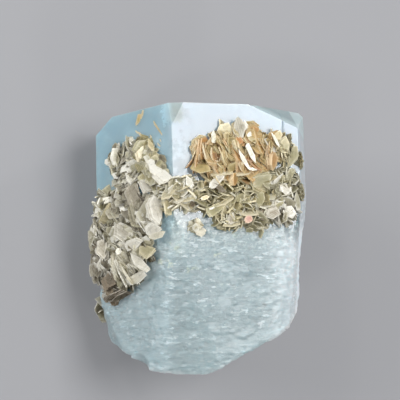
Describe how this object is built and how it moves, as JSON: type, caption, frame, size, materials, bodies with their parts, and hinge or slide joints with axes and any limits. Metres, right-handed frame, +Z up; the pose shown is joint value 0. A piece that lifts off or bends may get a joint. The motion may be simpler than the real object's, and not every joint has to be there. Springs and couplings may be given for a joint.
{
  "type": "aquamarine crystal",
  "caption": "Stubby hexagonal aquamarine crystal with a flat tip and a broken, etched base, crusted with muscovite mica, lying on its back face.",
  "frame": {"origin": "a point on the flat prism face that the crystal rests on, below the middle of the crystal", "axes": "+Y along the crystal towards its flat tip, +Z up, away from the rest face, +X to the right when the tip points up and the broad front face is towards the viewer"},
  "size_m": [0.0675, 0.0833, 0.0588],
  "materials": {
    "aquamarine": "clear and glassy at the tip, etched and cloudy at the base",
    "muscovite": "pearly mica leaves, silvery olive on the left and golden on the right"
  },
  "bodies": {
    "root": {"aquamarine_crystal": "aquamarine", "muscovite_cluster": "muscovite", "muscovite_tuft": "muscovite", "muscovite_flake": "muscovite"}
  },
  "joints": []
}
